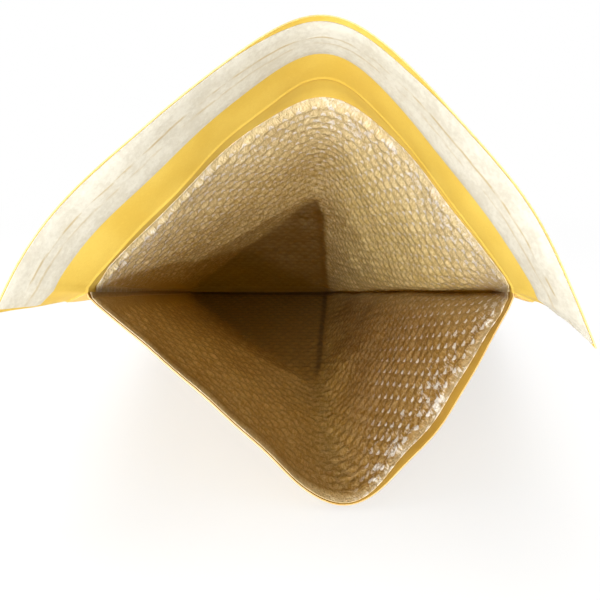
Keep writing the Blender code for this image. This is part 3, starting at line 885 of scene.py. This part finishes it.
def flap_strip(name, width, lines, end, under, thickness, spread=0.0):
    """A thin band along the flap.

    under(share) is its clearance from the kraft over its width, from -1 at the edge next to the
    score line to 1 at the flap's free edge. Away from the flap's crest the free-edge side runs
    out by spread."""
    share = np.linspace(1, -1, lines)
    reaches = STRIP_MIDDLE + share * width / 2
    half = POCKET_WIDTH / 2 + SEAL_WIDTH - end
    flats = np.linspace(-half, half, STRIP_COLUMNS)
    lines_in = np.linspace(FLAP_LENGTH, 0, 4 * lines)
    whole = flap_inside(flats, lines_in)
    face = np.zeros((lines, STRIP_COLUMNS, 3))
    for column, flat in enumerate(flats):
        out = spread * smoothstep((abs(flat - CREST_FLAT) - CREST_HALF) / CREST_RUN)
        at = reaches + out * (share + 1) / 2
        for k in range(3):
            face[:, column, k] = np.interp(at, lines_in[::-1], whole[::-1, column, k])
    inward = -normals(face, SIDES["back"])
    gap = under(share)[:, None, None]
    layers = [to_world(face + inward * (gap + depth), 0.0) for depth in (0.0, thickness)]
    return sheet(name, *layers, flats, reaches, lambda row, column, layer: 0)


def on_kraft(share):
    """The glue lies just off the kraft over its whole width."""
    return np.full(len(share), GLUE_CLEARANCE)


adhesive = flap_strip("glue_band", ADHESIVE_WIDTH, GLUE_STEPS, ADHESIVE_END, on_kraft,
                      ADHESIVE_THICKNESS)
glue = Finish("hot_melt_glue")
glue_ripples = glue.noise(glue.own_place(), 160, 3, 0.6)
glue.bump(glue_ripples, 0.3 * MM)
glue.set(base_color=glue.blend(glue_ripples, GLUE_AMBER, GLUE_CREAM),
         roughness=0.18 + glue_ripples * 0.2, coat_weight=0.4)
adhesive.data.materials.append(glue.data)
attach(adhesive, "root")
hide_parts("adhesive_strip")

# Release liner
# A white peel-off strip of siliconed paper over the adhesive. Its long edges lie down on the kraft
# on both sides of the glue, whose beads show as faint broken lines along its middle.

LINER_WHITE = paint(200, 197, 184)
LINER_GREY = paint(186, 181, 166)
LINER_LINE = paint(170, 148, 98)
LINER_SPREAD = 2.6 * MM
LINER_STEPS = 17
LINER_CLEARANCE = 0.12 * MM
LINER_RISE = 0.45 * MM
RISE_SHARE = 0.28
# Distance from the strip's middle, wander and weight of each faint line.
GLUE_LINES = ((2.4 * MM, 1.3 * MM, 1.0), (-2.2 * MM, 1.0 * MM, 0.7))


def over_glue(share):
    """The liner rises from the kraft at its edges to the top of the glue."""
    return LINER_CLEARANCE + LINER_RISE * smoothstep((1 - np.abs(share)) / RISE_SHARE)


release = flap_strip("peel_off_liner", RELEASE_WIDTH, LINER_STEPS, RELEASE_END, over_glue,
                     RELEASE_THICKNESS, spread=LINER_SPREAD)
liner = Finish("siliconed_paper")
liner_place = liner.own_place()
liner_flat, _, liner_v = liner.flat_place()
mottle = liner.noise(liner_place, 90, 4, 0.6)
fine_mottle = liner.noise(liner_place, 520, 3, 0.6)
liner_colour = liner.blend(liner.band(mottle * 0.5 + fine_mottle * 0.5, 0.38, 0.62),
                           LINER_GREY, LINER_WHITE)
breaks = liner.noise(liner.stretched(liner_flat, (90, 260, 1)), 1.0, 3, 0.6)
line_total = 0.0
for offset, wander, weight in GLUE_LINES:
    drift = liner.noise(liner.stretched(liner_flat, (22, 4, 1)), 1.0 + offset / MM, 2, 0.5)
    away = liner.maths("ABSOLUTE", liner_v - (STRIP_MIDDLE + offset) - (drift - 0.5) * wander)
    line = 1 - liner.band(away, 0.25 * MM, 0.85 * MM)
    line_total = line * liner.band(breaks, 0.40, 0.58) * weight + line_total
liner_colour = liner.blend(line_total * 0.7, liner_colour, LINER_LINE)
liner.bump(mottle * 0.5 + fine_mottle * 0.18 + line_total * 0.12, 0.35 * MM)
liner.set(base_color=liner_colour, roughness=0.36 + mottle * 0.12, specular_ior_level=0.5)
liner.let_light_through(LINER_WHITE, 0.06)
release.data.materials.append(liner.data)
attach(release, "root")
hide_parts("release_liner")

# Studio
# A white table in a seamless white surround, with the camera looking straight into the pocket. A
# large soft lamp hangs above, a softbox stands low in front at the left, and a small lamp next to
# the camera makes glints on the film, beside the painted glints in its colour.

TABLE_SIZE = 8.0
TABLE_WHITE = (0.88, 0.88, 0.88, 1.0)
PURE_WHITE = (1.0, 1.0, 1.0, 1.0)
AMBIENT = 0.70
AIM = Vector((0.03, -0.14, 0.08))
# Place, size in metres and power in watts of each lamp.
LAMPS = (("top_softbox", (-0.10, 0.05, 1.30), 0.9, 10.0),
         ("front_softbox", (-0.35, -1.10, 0.16), 0.5, 4.6),
         ("camera_lamp", (-0.03, -0.62, 0.05), 0.015, 1.3))
CAMERA_DISTANCE = 293 * MM
SENSOR_SIDE = 36.0
FOCAL_PIXELS = 663
PICTURE_SIDE = 600
AXIS_ABOVE_CENTRE = 8

table_mesh = bmesh.new()
bmesh.ops.create_grid(table_mesh, x_segments=1, y_segments=1, size=TABLE_SIZE / 2)
table_data = bpy.data.meshes.new("table")
table_mesh.to_mesh(table_data)
table_mesh.free()
table = bpy.data.objects.new("table", table_data)
bpy.context.scene.collection.objects.link(table)
table_finish = Finish("white_table")
table_finish.set(base_color=TABLE_WHITE, roughness=0.8)
away = table_finish.node("ShaderNodeVectorMath", {"operation": "LENGTH"},
                         {0: table_finish.own_place()}, output="Value")
far = table_finish.band(away, 0.25, 0.75)
seen = table_finish.node("ShaderNodeLightPath")
plain_white = table_finish.node("ShaderNodeEmission", {}, {"Color": PURE_WHITE, "Strength": 1.0})
table_finish.mix_in(seen * (far * 0.35 + 0.65), plain_white)
table_data.materials.append(table_finish.data)

surround = Finish("surround", bpy.data.worlds, "Background", "World Output")
bpy.context.scene.world = surround.data
surround.set(color=PURE_WHITE, strength=AMBIENT)
seen = surround.node("ShaderNodeLightPath")
seen_through = surround.beside(seen, "Is Transmission Ray")
plain_white = surround.node("ShaderNodeBackground", {}, {"Color": PURE_WHITE, "Strength": 1.0})
surround.mix_in(surround.maths("MAXIMUM", seen, seen_through), plain_white)

for name, place, size, watts in LAMPS:
    lamp_data = bpy.data.lights.new(name, "AREA")
    lamp_data.shape = "SQUARE"
    lamp_data.size = size
    lamp_data.energy = watts
    lamp = bpy.data.objects.new(name, lamp_data)
    lamp.location = place
    lamp.rotation_euler = (AIM - Vector(place)).to_track_quat("-Z", "Y").to_euler()
    bpy.context.scene.collection.objects.link(lamp)

camera_data = bpy.data.cameras.new("camera")
camera_data.sensor_width = SENSOR_SIDE
camera_data.lens = SENSOR_SIDE * FOCAL_PIXELS / PICTURE_SIDE
camera_data.shift_y = -AXIS_ABOVE_CENTRE / PICTURE_SIDE
camera = bpy.data.objects.new("camera", camera_data)
camera.location = to_world([0.0, 0.0, -CAMERA_DISTANCE], 0.0)
camera.rotation_euler = (math.pi / 2 - TABLE_TILT, 0, 0)
bpy.context.scene.collection.objects.link(camera)
bpy.context.scene.camera = camera
bpy.context.scene.view_settings.view_transform = "Standard"
